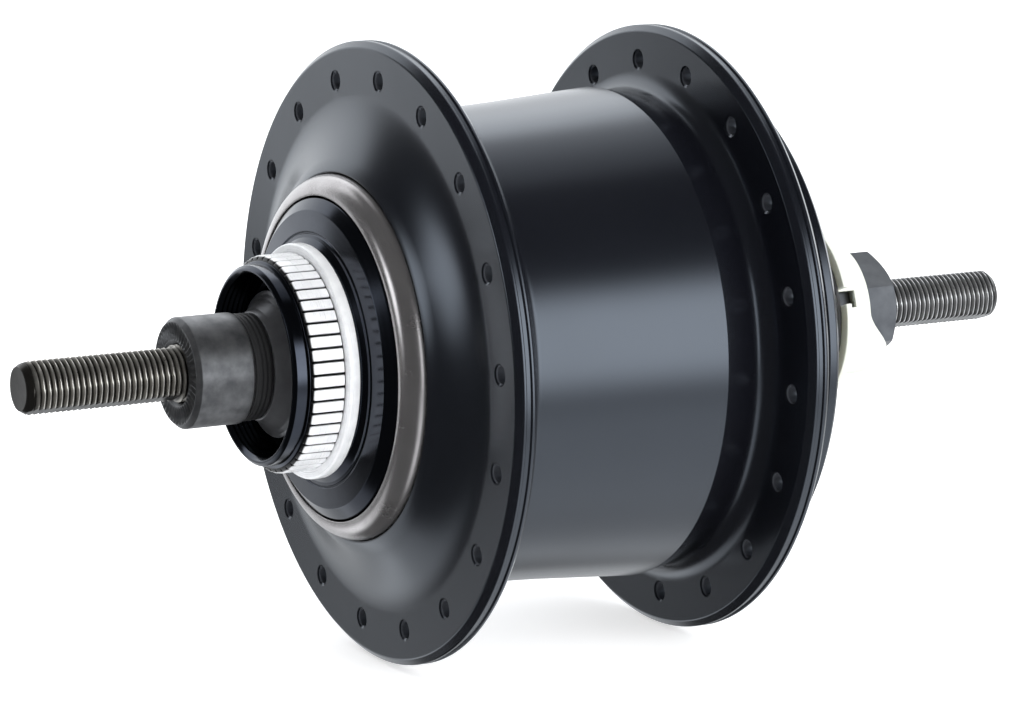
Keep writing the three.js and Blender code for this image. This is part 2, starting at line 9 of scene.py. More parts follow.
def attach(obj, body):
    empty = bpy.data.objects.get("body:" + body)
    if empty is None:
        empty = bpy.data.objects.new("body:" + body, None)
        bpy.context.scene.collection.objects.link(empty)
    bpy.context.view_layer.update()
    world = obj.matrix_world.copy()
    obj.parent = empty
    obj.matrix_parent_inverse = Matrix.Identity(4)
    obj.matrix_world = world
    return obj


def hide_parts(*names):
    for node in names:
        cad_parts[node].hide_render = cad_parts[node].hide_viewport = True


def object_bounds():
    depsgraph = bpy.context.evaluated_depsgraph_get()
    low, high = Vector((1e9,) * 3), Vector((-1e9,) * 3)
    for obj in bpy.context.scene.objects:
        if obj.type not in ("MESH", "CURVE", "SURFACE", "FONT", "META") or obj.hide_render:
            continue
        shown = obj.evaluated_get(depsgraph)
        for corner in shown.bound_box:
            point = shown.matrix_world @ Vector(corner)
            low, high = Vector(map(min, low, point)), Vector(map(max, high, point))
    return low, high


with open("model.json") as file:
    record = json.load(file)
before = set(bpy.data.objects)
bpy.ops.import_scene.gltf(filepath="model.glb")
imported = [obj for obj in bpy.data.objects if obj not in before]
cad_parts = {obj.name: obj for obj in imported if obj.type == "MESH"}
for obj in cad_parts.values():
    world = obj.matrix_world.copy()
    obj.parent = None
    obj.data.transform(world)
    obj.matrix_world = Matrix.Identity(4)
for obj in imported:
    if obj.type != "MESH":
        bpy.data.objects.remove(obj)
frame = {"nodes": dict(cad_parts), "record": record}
cad_lo, cad_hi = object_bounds()
NODES = frame["nodes"]
TAU = math.tau
MM = 0.001


# ------------------------------------------------------------------ mesh helpers
def fillet(loop, steps=4):
    """Rounds the corners of a closed [r, y] loop. A point's third number is that corner's radius, in mm."""
    out = []
    n = len(loop)
    for i, point in enumerate(loop):
        radius = point[2] if len(point) > 2 else 0.15
        here = Vector(point[:2])
        a = Vector(loop[i - 1][:2]) - here
        b = Vector(loop[(i + 1) % n][:2]) - here
        too_short = a.length < 1e-6 or b.length < 1e-6
        if radius <= 0 or too_short or a.angle(b) > math.radians(172):
            out.append(tuple(here))
            continue
        half = a.angle(b) / 2
        back = min(radius / math.tan(half), a.length * 0.45, b.length * 0.45)
        r = back * math.tan(half)
        centre = here + (a.normalized() + b.normalized()).normalized() * (r / math.sin(half))
        p = here + a.normalized() * back - centre
        q = here + b.normalized() * back - centre
        turn = p.angle_signed(q)
        for k in range(steps + 1):
            v = p.copy()
            v.rotate(Matrix.Rotation(-turn * k / steps, 2))
            out.append(tuple(centre + v))
    return out


def dense(loop, longest):
    """Adds points along a closed loop, so that no side is longer than this, in mm."""
    out = []
    for i, p in enumerate(loop):
        q = loop[(i + 1) % len(loop)]
        k = max(1, math.ceil(math.dist(p[:2], q[:2]) / longest))
        out += [(p[0] + (q[0] - p[0]) * j / k, p[1] + (q[1] - p[1]) * j / k) for j in range(k)]
    return out


def finish_mesh(bm, name, crease=32):
    """Closes a bmesh into a smooth object. Edges that bend more than the crease, in degrees, stay sharp."""
    bmesh.ops.remove_doubles(bm, verts=bm.verts, dist=1e-7)
    bmesh.ops.recalc_face_normals(bm, faces=bm.faces)
    mesh = bpy.data.meshes.new(name)
    for f in bm.faces:
        f.smooth = True
    for e in bm.edges:
        e.smooth = len(e.link_faces) == 2 and e.calc_face_angle(0) < math.radians(crease)
    bm.to_mesh(mesh)
    bm.free()
    obj = bpy.data.objects.new(name, mesh)
    bpy.context.scene.collection.objects.link(obj)
    return obj


def lathe(name, loop, seg=192, warp=None, crease=32, at=(0.0, 0.0)):
    """Turns a closed [r, y] loop, in mm, about an axis along Y. warp takes (r, y, angle) to (r, y)."""
    bm = bmesh.new()
    rows = []
    for r, y in loop:
        row = []
        for j in range(seg):
            a = TAU * j / seg
            rr, yy = warp(r, y, a) if warp else (r, y)
            x = at[0] + rr * math.sin(a)
            z = at[1] + rr * math.cos(a)
            row.append(bm.verts.new((x * MM, yy * MM, z * MM)))
        rows.append(row)
    for i, row in enumerate(rows):
        below = rows[(i + 1) % len(rows)]
        if loop[i][0] < 1e-6 and loop[(i + 1) % len(rows)][0] < 1e-6:
            continue
        for j in range(seg):
            k = (j + 1) % seg
            corners = [row[j], row[k], below[k], below[j]]
            if loop[i][0] < 1e-6:
                corners = [row[0], below[k], below[j]]
            elif loop[(i + 1) % len(rows)][0] < 1e-6:
                corners = [row[j], row[k], below[0]]
            bm.faces.new(corners)
    loose = [v for v in bm.verts if not v.link_faces]
    bmesh.ops.delete(bm, geom=loose, context="VERTS")
    return finish_mesh(bm, name, crease)


def prism(name, outline, y0, y1):
    """A straight block along Y from an [x, z] outline, in mm."""
    bm = bmesh.new()
    low = [bm.verts.new((x * MM, y0 * MM, z * MM)) for x, z in outline]
    high = [bm.verts.new((x * MM, y1 * MM, z * MM)) for x, z in outline]
    bm.faces.new(low)
    bm.faces.new(high)
    for i in range(len(low)):
        j = (i + 1) % len(low)
        bm.faces.new([low[i], low[j], high[j], high[i]])
    return finish_mesh(bm, name)


def merged(name, parts):
    """Joins several objects into one, and removes them."""
    bm = bmesh.new()
    for p in parts:
        bm.from_mesh(p.data)
        bpy.data.objects.remove(p)
    return finish_mesh(bm, name)


def carve(obj, cutter, how="DIFFERENCE", crease=32):
    """Cuts an object with another, which is used up."""
    mod = obj.modifiers.new("carve", "BOOLEAN")
    mod.operation = how
    mod.solver = "MANIFOLD"
    mod.object = cutter
    bpy.context.view_layer.update()
    done = obj.evaluated_get(bpy.context.evaluated_depsgraph_get())
    mesh = bpy.data.meshes.new_from_object(done)
    obj.modifiers.clear()
    obj.data = mesh
    bm = bmesh.new()
    bm.from_mesh(mesh)
    for f in bm.faces:
        f.smooth = True
    for e in bm.edges:
        e.smooth = len(e.link_faces) == 2 and e.calc_face_angle(0) < math.radians(crease)
    bm.to_mesh(mesh)
    bm.free()
    bpy.data.objects.remove(cutter)
    return obj


def steady_normals(obj):
    """Weights normals by face area, so that flats beside small fillets stay flat."""
    mod = obj.modifiers.new("normals", "WEIGHTED_NORMAL")
    mod.keep_sharp = True
    mod.weight = 80


# ------------------------------------------------------------------ materials
class Net:
    """Builds one material's nodes. Sizes are in metres of the object's own frame."""

    def __init__(self, name):
        self.mat = bpy.data.materials.new(name)
        self.mat.use_nodes = True
        self.tree = self.mat.node_tree
        self.tree.nodes.clear()
        self.out = self.tree.nodes.new("ShaderNodeOutputMaterial")
        self.bsdf = self.tree.nodes.new("ShaderNodeBsdfPrincipled")
        self.link(self.bsdf.outputs[0], self.out.inputs[0])
        self.here = self.tree.nodes.new("ShaderNodeTexCoord").outputs["Object"]
        self.normal = None

    def link(self, a, b):
        self.tree.links.new(a, b)

    def put(self, value, socket):
        if hasattr(value, "links"):
            self.link(value, socket)
        else:
            socket.default_value = value

    def math(self, op, a, b=0.0, c=0.0):
        n = self.tree.nodes.new("ShaderNodeMath")
        n.operation = op
        for value, socket in zip((a, b, c), n.inputs):
            self.put(value, socket)
        return n.outputs[0]

    def split(self):
        n = self.tree.nodes.new("ShaderNodeSeparateXYZ")
        self.link(self.here, n.inputs[0])
        return n.outputs

    def length(self, a, b):
        """The hypotenuse of two values."""
        return self.math("SQRT", self.math("ADD", self.math("MULTIPLY", a, a), self.math("MULTIPLY", b, b)))

    def polar(self, across=1.0, around=0.0, along=1.0):
        """A point as (radius, arc, y), each stretched: used for the lines that a lathe leaves."""
        x, y, z = self.split()
        r = self.length(x, z)
        a = self.math("ARCTAN2", x, z)
        n = self.tree.nodes.new("ShaderNodeCombineXYZ")
        self.put(self.math("MULTIPLY", r, across), n.inputs[0])
        self.put(self.math("MULTIPLY", a, around), n.inputs[1])
        self.put(self.math("MULTIPLY", y, along), n.inputs[2])
        return n.outputs[0]

    def noise(self, scale, detail=2.0, rough=0.5, vector=None):
        n = self.tree.nodes.new("ShaderNodeTexNoise")
        n.inputs["Scale"].default_value = scale
        n.inputs["Detail"].default_value = detail
        n.inputs["Roughness"].default_value = rough
        self.link(vector or self.here, n.inputs["Vector"])
        return n.outputs["Fac"]

    def between(self, fac, low, high, start=0.3, end=0.7):
        n = self.tree.nodes.new("ShaderNodeMapRange")
        self.put(fac, n.inputs["Value"])
        n.inputs["From Min"].default_value = start
        n.inputs["From Max"].default_value = end
        self.put(low, n.inputs["To Min"])
        self.put(high, n.inputs["To Max"])
        return n.outputs["Result"]

    def blend(self, fac, a, b):
        n = self.tree.nodes.new("ShaderNodeMix")
        n.data_type = "RGBA"
        self.put(fac, n.inputs["Factor"])
        for value, socket in ((a, n.inputs[6]), (b, n.inputs[7])):
            self.put((*value, 1.0) if isinstance(value, tuple) else value, socket)
        return n.outputs[2]

    def bump(self, height, strength, distance):
        n = self.tree.nodes.new("ShaderNodeBump")
        n.inputs["Strength"].default_value = strength
        n.inputs["Distance"].default_value = distance
        self.put(height, n.inputs["Height"])
        if self.normal:
            self.link(self.normal, n.inputs["Normal"])
        self.normal = n.outputs[0]

    def done(self, colour, rough, metallic=0.0, **sockets):
        colour = (*colour, 1.0) if isinstance(colour, tuple) else colour
        self.put(colour, self.bsdf.inputs["Base Color"])
        self.put(rough, self.bsdf.inputs["Roughness"])
        self.bsdf.inputs["Metallic"].default_value = metallic
        for name, value in sockets.items():
            self.bsdf.inputs[name.replace("_", " ")].default_value = value
        if self.normal:
            self.link(self.normal, self.bsdf.inputs["Normal"])
        return self.mat


def turned(name, light, dark, rough, metallic=1.0, lines=0.25, grain=0.1, pitch=9000.0, patch=90.0,
           **sockets):
    """Metal off a lathe: fine rings, a faint grain, and slow patches of tone and gloss."""
    m = Net(name)
    rings = m.noise(1.0, 2.0, 0.6, m.polar(pitch, 1.5, pitch))
    fine = m.noise(5200.0, 2.0)
    slow = m.noise(patch, 4.0, 0.6)
    m.bump(rings, lines, 0.00002)
    m.bump(fine, grain, 0.00002)
    gloss = m.math("ADD", m.between(slow, rough * 0.85, rough * 1.2), m.between(rings, -0.03, 0.03))
    return m.done(m.blend(m.between(slow, 0.0, 1.0), light, dark), gloss, metallic, **sockets)


def blasted(name, light, dark, rough, metallic=0.0, grain=0.2, size=3800.0, patch=45.0, **sockets):
    """A satin, bead-blasted or moulded surface: fine pits, with slow changes of tone and gloss."""
    m = Net(name)
    pits = m.noise(size, 3.0, 0.65)
    slow = m.noise(patch, 4.0, 0.55)
    m.bump(pits, grain, 0.00003)
    gloss = m.math("ADD", m.between(slow, rough * 0.93, rough * 1.08), m.between(pits, -0.02, 0.03))
    return m.done(m.blend(m.between(slow, 0.0, 1.0), light, dark), gloss, metallic, **sockets)


PITCH = 0.977                # of the axle's thread, 26 turns to the inch
AXLE_R = 4.7625              # a 3/8 inch axle
ROOT_R = 4.19
TIP_BRAKE = 94.8
TIP_DRIVE = -92.2
HALF_FLATS = 4.0
FLAT_FROM = 67.9             # the flats start just outside the lock nuts
ROLL = math.radians(22)      # how far the flats are turned from level


def threaded(name, crest, root_shade, face, tip, rough):
    """A rolled thread: bright crests, with painted shade in the roots (a near-black colour below the crest
    radius) and painted shade on the tip's end face.
    """
    m = Net(name)
    x, y, z = m.split()
    r = m.length(x, z)
    rubbed = m.noise(420.0, 4.0, 0.6)
    worn = m.math("ADD", r, m.between(rubbed, -0.00008, 0.00008))
    # Painted shade: below the crest radius the thread roots take a near-black colour.
    high = m.between(worn, 0.0, 1.0, (ROOT_R + 0.08) * MM, AXLE_R * MM)
    thread = m.blend(high, root_shade, crest)
    # Painted shade: the tip's end face, its last tenth of a millimetre, takes a darker colour.
    toward = 1.0 if tip > 0 else -1.0
    out = m.math("MULTIPLY", y, toward)
    tip_face_shade_mask = m.between(out, 0.0, 1.0, (abs(tip) - 0.16) * MM, (abs(tip) - 0.10) * MM)
    m.bump(m.noise(2600.0, 3.0), 0.25, 0.00002)
    return m.done(m.blend(tip_face_shade_mask, thread, face), m.between(rubbed, rough * 0.8, rough * 1.25), 0.9)


PCD_R = 46.3                 # radius of the spoke hole circle
HOLES = 18
HOLE_R = 1.45
HOLE_MOUTH_R = 1.95
BRAKE_PHASE = 15.4           # degrees from straight up to the first hole
DRIVE_PHASE = 5.3
COOL = (0.78, 0.87, 1.0, 1.0)


def drilled_shell(name, light, dark, painted_hole_highlight, rough):
    """Satin anodised black. The walls of the spoke holes get a paler colour, a painted highlight."""
    m = Net(name)
    x, y, z = m.split()
    r = m.length(x, z)
    phase = m.between(y, DRIVE_PHASE, BRAKE_PHASE, -0.001, 0.001)
    around = m.math("SUBTRACT", m.math("ARCTAN2", x, z), m.math("MULTIPLY", phase, math.pi / 180))
    cell = m.math("PINGPONG", m.math("ADD", m.math("MULTIPLY", around, HOLES / TAU), HOLES), 0.5)
    aside = m.math("MULTIPLY", cell, TAU / HOLES * PCD_R * MM)
    away = m.math("SUBTRACT", r, PCD_R * MM)
    off = m.length(aside, away)
    # Painted highlight: within a ring round each spoke hole, the wall takes the paler colour.
    inside = m.between(off, 1.0, 0.0, (HOLE_R + 0.10) * MM, (HOLE_R + 0.22) * MM)
    slow = m.noise(40.0, 3.0, 0.5)
    m.bump(m.noise(5200.0, 2.0, 0.5), 0.035, 0.00002)
    skin = m.blend(m.between(slow, 0.0, 1.0), light, dark)
    return m.done(m.blend(inside, skin, painted_hole_highlight), m.between(slow, rough * 0.94, rough * 1.07),
                  Specular_IOR_Level=1.0, Specular_Tint=COOL)


# The third colour is the painted highlight on the spoke hole walls.
SHELL = drilled_shell("shell_black", (0.0048, 0.0052, 0.0074), (0.0034, 0.0037, 0.0056),
                      (0.055, 0.058, 0.066), 0.225)
COVER = blasted("cover_black", (0.0040, 0.0043, 0.0060), (0.0028, 0.0031, 0.0046), 0.20,
                grain=0.03, Specular_IOR_Level=0.9, Specular_Tint=COOL)


def spline_metal(name, light, dark, gap, rough):
    """Machined aluminium lands, with painted shade: a near-black colour below the lands' radius, down in the
    grooves and behind their fronts.
    """
    m = Net(name)
    x, y, z = m.split()
    r = m.length(x, z)
    lines = m.noise(1.0, 2.0, 0.6, m.polar(9000.0, 1.5, 9000.0))
    m.bump(lines, 0.18, 0.00002)
    metal = m.blend(m.between(m.noise(260.0, 4.0, 0.6), 0.0, 1.0), light, dark)
    # Painted shade: below 17.8 mm radius, in the grooves and at the teeth's ends, the colour turns
    # near-black.
    low = m.between(r, 1.0, 0.0, 17.80 * MM, 17.96 * MM)
    return m.done(m.blend(low, metal, gap), m.between(lines, rough * 0.85, rough * 1.2), 0.15)


BRIGHT = turned("bright_aluminium", (0.88, 0.89, 0.90), (0.76, 0.77, 0.79), 0.17, lines=0.20, grain=0.04)
# The third colour is the painted shade in the grooves and at the teeth's ends.
SPLINED = spline_metal("spline_aluminium", (0.90, 0.91, 0.92), (0.74, 0.75, 0.77),
                       (0.004, 0.004, 0.005), 0.30)
GLOSS = turned("black_plate", (0.050, 0.056, 0.070), (0.034, 0.038, 0.050), 0.15, lines=0.10, grain=0.03)
# The second colour is painted shade for the thread roots, the third painted shade for the tip's end face.
THREAD = threaded("axle_thread", (0.52, 0.50, 0.46), (0.045, 0.042, 0.038), (0.075, 0.072, 0.068),
                  TIP_BRAKE, 0.33)
THREAD_DRIVE = threaded("axle_thread_grey", (0.55, 0.55, 0.55), (0.10, 0.10, 0.10), (0.20, 0.20, 0.20),
                        TIP_DRIVE, 0.34)
NUT = blasted("nut_dark", (0.17, 0.172, 0.178), (0.085, 0.087, 0.092), 0.42, 0.85, grain=0.22, size=2400.0,
              patch=330.0)
CAP = blasted("cap_dark", (0.16, 0.163, 0.172), (0.11, 0.112, 0.12), 0.30, 0.7, grain=0.12, patch=160.0)
BOOT = blasted("boot_rubber", (0.016, 0.016, 0.017), (0.010, 0.010, 0.011), 0.55, grain=0.3)
SEAL = blasted("seal_metal", (0.52, 0.50, 0.50), (0.42, 0.40, 0.40), 0.24, 0.92, grain=0.04, size=2600.0,
               patch=120.0)
ZINC = blasted("zinc_grey", (0.120, 0.125, 0.134), (0.078, 0.082, 0.090), 0.36, 1.0, grain=0.14, patch=220.0)
NYLON = blasted("nylon_white", (0.66, 0.68, 0.63), (0.62, 0.635, 0.56), 0.38, grain=0.08, patch=70.0,
                Subsurface_Weight=0.25, Subsurface_Scale=0.003, Subsurface_Radius=(1.0, 0.95, 0.8))
DRIVER = turned("driver_dark", (0.13, 0.13, 0.14), (0.075, 0.075, 0.08), 0.33, lines=0.2, grain=0.12)
PLASTIC = blasted("plastic_black", (0.022, 0.022, 0.024), (0.016, 0.016, 0.018), 0.48, grain=0.25)
BEARING = turned("bearing_ground", (0.52, 0.52, 0.53), (0.40, 0.40, 0.41), 0.24)
BALLS = turned("balls_polished", (0.80, 0.81, 0.82), (0.70, 0.71, 0.72), 0.12, lines=0.05, grain=0.03)
PINS = turned("pins_ground", (0.66, 0.67, 0.68), (0.55, 0.56, 0.57), 0.26, lines=0.15)
GEARS = blasted("gears_greased", (0.42, 0.40, 0.37), (0.27, 0.25, 0.21), 0.30, 1.0, grain=0.18, patch=180.0)

SLOT_MATERIAL = {
    "black_shell": SHELL, "machined_aluminium": BRIGHT, "axle_steel": NUT, "plated_steel": ZINC,
    "bearing_steel": BEARING, "ball_steel": BALLS, "pin_steel": PINS, "driver_steel": DRIVER,
    "gear_steel": GEARS, "rubber": BOOT, "black_plastic": PLASTIC, "white_plastic": NYLON,
}
for row in frame["record"]["subparts"]:
    carried = NODES[row["node"]]
    carried.data.materials.clear()
    carried.data.materials.append(SLOT_MATERIAL[row["material_slot"]])

BODY_OF = {n: b for b, nodes in frame["record"]["behaviour"]["bodies"].items() for n in nodes}


def fit(obj, node, material, replace=True):
    """Puts a finished piece in the place of a CAD node."""
    obj.data.materials.clear()
    obj.data.materials.append(material)
    steady_normals(obj)
    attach(obj, BODY_OF[node])
    if replace:
        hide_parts(node)
    return obj


# ------------------------------------------------------------------ hub shell
BRAKE_OUT, BRAKE_IN = 32.2, 28.2         # the faces of the brake-side flange
DRIVE_IN, DRIVE_OUT = -21.7, -25.8       # and of the drive-side one
FLANGE_R = 52.3
RIM_R = 51.2                             # where the rounded rim begins
TRUMPET_R = 43.5                         # where the flange starts to flare towards the seal


def trumpet(r):
    """How far out the brake side stands at a radius."""
    return BRAKE_OUT + 5.1 * max(0.0, (TRUMPET_R - r) / 12) ** 1.7


def rim_groove(y, way):
    """A shallow turned groove round a flange's rim."""
    floor_r = FLANGE_R - 0.28
    return [(FLANGE_R, y + way * 0.55, 0.1), (floor_r, y + way * 0.35, 0.1), (floor_r, y - way * 0.35, 0.1),
            (FLANGE_R, y - way * 0.55, 0.1)]


shell_loop = [(30.75, 37.4, 0.25)]
flare = (32, 33.2, 34.4, 35.6, 36.8, 38, 39.2, 40.4, 41.6, 42.6, TRUMPET_R)
shell_loop += [(r, trumpet(r), 0) for r in flare]
shell_loop += [
    (RIM_R, BRAKE_OUT, 0.6), (FLANGE_R, 31.2, 0.5), *rim_groove(30.2, 1), (FLANGE_R, 29.2, 0.5),
    (RIM_R, BRAKE_IN, 0.5), (44.4, BRAKE_IN, 1.5), (41.0, 26.4, 2.0), (39.8, 21.5, 3), (40.7, 6, 5),
    (42.15, -12.2, 0.3),             # the barrel's crisp edge, then a dip that turns up to the flange
    (40.0, DRIVE_IN, 5.4),
    (RIM_R, DRIVE_IN, 0.5), (FLANGE_R, -22.7, 0.5), *rim_groove(-23.75, 1), (FLANGE_R, -24.8, 0.5),
    (RIM_R, DRIVE_OUT, 0.5), (43.4, DRIVE_OUT, 0.4), (43, -29.6, 0.2), (38.6, -29.6, 0.1), (38.6, -24.4, 0),
    (36.9, -24.4, 0), (36.9, 26, 0), (34.5, 30.2, 0), (27, 30.2, 0), (27, 33.4, 0), (30.75, 33.4, 0.1),
]
shell = lathe("shell", fillet(shell_loop, 9), 288)


def spoke_cutter(at, y_low, y_high):
    """A drill for one spoke hole, chamfered at both faces of its flange."""
    chamfer = [
        (0, y_low - 1), (HOLE_MOUTH_R, y_low - 1), (HOLE_MOUTH_R, y_low - 0.1), (HOLE_R, y_low + 0.4),
        (HOLE_R, y_high - 0.4), (HOLE_MOUTH_R, y_high + 0.1), (HOLE_MOUTH_R, y_high + 1), (0, y_high + 1),
    ]
    return lathe("cut", chamfer, 28, at=at)


cutters = []
for phase, low, high in ((BRAKE_PHASE, BRAKE_IN, BRAKE_OUT), (DRIVE_PHASE, DRIVE_OUT, DRIVE_IN)):
    for i in range(HOLES):
        a = math.radians(phase + 360 / HOLES * i)
        cutters.append(spoke_cutter((PCD_R * math.sin(a), PCD_R * math.cos(a)), low, high))
carve(shell, merged("spoke_cutters", cutters))
fit(shell, "hub_shell", SHELL)

cover_loop = [
    (36.2, -29.75, 0.1), (43.2, -29.75, 0.2), (44.1, -30.6, 0.35), (44.1, -32, 0.35), (43, -33, 0.4),
    (40.5, -33.2, 0), (40.3, -32.95, 0.05), (39.9, -32.95, 0.05), (39.7, -33.2, 0.05),
    (35, -33.4, 0.2), (35, -31.4, 0.1), (36.2, -31.4, 0.1),
]
fit(lathe("cover", fillet(cover_loop), 256), "end_cover", COVER)

# ------------------------------------------------------------------ rotor mount and seal
SPLINES = 52
ROOT = 17.45
TIP = 18.1
SPLINE_BACK = 45.5       # the teeth end here, at the collar
LAND = 0.80              # the share of a tooth's pitch that is land, before the groove's wall begins
GROOVE_WALL = 0.16


def spline(r, y, a):
    """Wide teeth with narrow V grooves. The teeth are rounded off at their front end."""
    if r < ROOT + 0.01 or r > TIP + 0.05 or y < SPLINE_BACK:
        return r, y
    t = (a * SPLINES / TAU + 0.5) % 1.0
    off = abs(t - 0.5) * 2
    depth = min(1.0, max(0.0, (off - LAND) / GROOVE_WALL))
    crown = 0.05 * min(1.0, off / LAND) ** 2
    return r - crown - (r - ROOT) * depth, y


spline_loop = [
    (16.2, 51.15, 0.05), (17.30, 51.15, 0), (17.62, 51.1, 0), (17.9, 50.95, 0), (18.03, 50.7, 0),
    (TIP, 50.3, 0),
    (TIP, 45.6, 0), (17.44, 45.45, 0), (17.40, 45.4, 0), (19.35, 45.4, 0.1), (19.6, 45.15, 0.1),
    (19.6, 43.6, 0.15), (19.3, 43.4, 0.1), (16.2, 43.4, 0),
]
splines = lathe("rotor_splines", fillet(spline_loop, 3), SPLINES * 14, spline, crease=38)
fit(splines, "rotor_sleeve", SPLINED)

lip_loop = [
    (15.75, 53.9, 0.12), (16.1, 53.85, 0.12), (16.65, 53.4, 0.2), (16.65, 51.55, 0.1),
    (17.2, 51.4, 0.1), (17.2, 51.16, 0.05), (16.19, 51.16, 0), (16.19, 43.39, 0), (13.4, 43.39, 0),
    (13.4, 47.2, 0), (15.2, 47.2, 0.2),
]
for k in range(6):      # fine thread inside the cup
    lip_loop += [(15.4, 48.2 + k * 0.9, 0.05), (15.15, 48.65 + k * 0.9, 0.05)]
fit(lathe("rotor_lip", fillet(lip_loop, 3), 192), "rotor_sleeve", GLOSS, False)

plate_loop = [
    (16.19, 43.38, 0), (19.2, 43.38, 0.05), (20.4, 42.5, 0.3), (20.9, 42.42, 0.1), (21.05, 42.2, 0.05),
    (21.3, 42.2, 0.05), (21.45, 42.36, 0.1), (24.9, 41.95, 0.35), (26.85, 40.6, 0.35), (26.85, 30.4, 0.1),
    (21.5, 30.4, 0.1), (13.4, 38.6, 0.1), (13.4, 43.38, 0),
]
fit(lathe("rotor_plate", fillet(plate_loop, 4), 224), "disc_mount", GLOSS)

BEAD_STEPS = 14
seal_loop = [(27.1, 33.5, 0.1), (30.6, 33.5, 0.1)]
for k in range(BEAD_STEPS + 1):      # the seal's round bead, a quarter turn
    turn = math.radians(90 * k / BEAD_STEPS)
    seal_loop.append((27.45 + 3.15 * math.cos(turn), 37.4 + 3.2 * math.sin(turn), 0))
seal_loop += [(27.2, 40.6, 0.1), (27.2, 38.9, 0.1)]
fit(lathe("seal", fillet(seal_loop, 4), 224), "seal_ring_brake", SEAL)


# ------------------------------------------------------------------ brake side of the axle
def thread_radius(y, a):
    """The thread's radius at a point, less where the two flats cut it."""
    t = (y / PITCH - a / TAU) % 1.0
    off = abs(t - 0.5) * 2
    r = ROOT_R + (AXLE_R - ROOT_R) * min(1.0, max(0.0, (1 - off - 0.06) / 0.74))
    flat = abs(math.cos(a - ROLL))
    return min(r, HALF_FLATS / flat) if flat > 0.5 and abs(y) > FLAT_FROM else r


def axle_rod(name, y0, y1, tip, chamfer, step, seg=96):
    """One threaded end of the axle, with its two flats and a turned-down tip."""
    outward = 1 if tip > 0 else -1
    count = round(abs(y1 - y0) / step)
    ys = [y0 + (y1 - y0) * i / count for i in range(count + 1)]
    bm = bmesh.new()
    rows = []
    for y in ys:
        from_tip = (tip - y) * outward
        limit = AXLE_R - max(0.0, (chamfer - from_tip) * 0.62)
        row = []
        for j in range(seg):
            a = TAU * j / seg
            r = min(thread_radius(y, a), limit)
            row.append(bm.verts.new((r * math.sin(a) * MM, y * MM, r * math.cos(a) * MM)))
        rows.append(row)
    for a_row, b_row in zip(rows, rows[1:]):
        for j in range(seg):
            k = (j + 1) % seg
            bm.faces.new([a_row[j], a_row[k], b_row[k], b_row[j]])
    for row, y in ((rows[0], ys[0]), (rows[-1], ys[-1])):
        dish = 0.12 if abs(y - tip) < 1e-6 else 0.0
        centre = bm.verts.new((0, (y - dish * outward) * MM, 0))
        for j in range(seg):
            bm.faces.new([row[j], row[(j + 1) % seg], centre])
    return finish_mesh(bm, name, 40)


middle = [
    (0, -55.05, 0), (AXLE_R, -55.05, 0), (AXLE_R, -18.9, 0.1), (6.0, -18.9, 0.1), (6.0, 27, 0.1),
    (8.0, 27, 0.2), (8.0, 29.5, 0.2), (AXLE_R, 30.5, 0.1), (AXLE_R, 55.05, 0), (0, 55.05, 0),
]
THREAD_STEP = PITCH / 9
fit(axle_rod("axle_brake", 55.0, TIP_BRAKE, TIP_BRAKE, 1.9, THREAD_STEP), "axle", THREAD)
fit(axle_rod("axle_drive", -55.0, TIP_DRIVE, TIP_DRIVE, 1.4, THREAD_STEP), "axle", THREAD_DRIVE, False)
fit(lathe("axle_middle", fillet(middle, 3), 96), "axle", THREAD, False)

SERRATIONS = 44
RIDGE_IN, RIDGE_OUT = 5.55, 8.35         # the ring that the ridges cover


def serrate(r, y, a):
    """Radial ridges pressed into the outer face of the round lock nut."""
    if y < 67.0 or not RIDGE_IN < r < RIDGE_OUT:
        return r, y
    t = (a * SERRATIONS / TAU + r * 0.05) % 1.0
    rise = 1 - abs(t - 0.5) * 2
    edge = min(1.0, (r - RIDGE_IN) / 0.35, (RIDGE_OUT - r) / 0.35)
    return r, y - 0.34 * edge * (1 - rise)


nut_loop = fillet([
    (4.83, 57, 0.1), (8.75, 57, 0.3), (9.2, 57.5, 0.3), (9.2, 66.7, 0.35), (8.5, 67.5, 0.25),
    (5.5, 67.5, 0.15), (4.83, 66.9, 0.1),
], 4)
nut_loop = dense(nut_loop, 0.6)
fit(lathe("lock_nut", nut_loop, SERRATIONS * 8, serrate, crease=50), "lock_nut_brake", NUT)


RIB_PITCH = 0.8


def ribs(r, y, a):
    """Fine moulded ribs round the boot."""
    return (r + 0.07 * math.cos(TAU * y / RIB_PITCH), y) if r > 8.2 else (r, y)


boot_loop = dense(fillet([
    (4.83, 53.8, 0.1), (8.7, 53.8, 0.2), (8.82, 54.2, 0.2), (8.82, 56.5, 0.2), (8.6, 56.95, 0.2),
    (4.83, 56.95, 0.1),
], 3), 0.12)
fit(lathe("boot", boot_loop, 128, ribs), "boot_brake", BOOT)

cap_loop = [
    (4.83, 50.5, 0), (10.3, 50.5, 0.1), (12.2, 49.8, 0.05), (12.2, 50.25, 0.12), (11.6, 50.5, 0.6),
    (10.9, 51.05, 0.9), (10.1, 51.9, 1.0), (9.45, 52.75, 0.8), (8.95, 53.7, 0.15), (4.83, 53.75, 0),
]
fit(lathe("dust_cap", fillet(cap_loop, 5), 192), "dust_cap_brake", CAP)

# ------------------------------------------------------------------ drive side
driver_loop = [
    (13.4, -50, 0.1), (16.6, -50, 0.25), (17.3, -49.4, 0.25), (17.3, -47.3, 0.1), (16.3, -47.3, 0),
    (16.3, -46, 0), (17.3, -46, 0.1), (17.3, -37.2, 0.15), (19.2, -37.2, 0.15), (19.2, -34.6, 0.5),
    (32.6, -32.5, 0.3), (31.7, -25.5, 0.2), (28.5, -25.5, 0), (28.5, -27.3, 0), (11.6, -38, 0),
    (11.6, -39.1, 0), (13.4, -39.1, 0),
]
driver = lathe("driver_body", fillet(driver_loop, 4), 224)


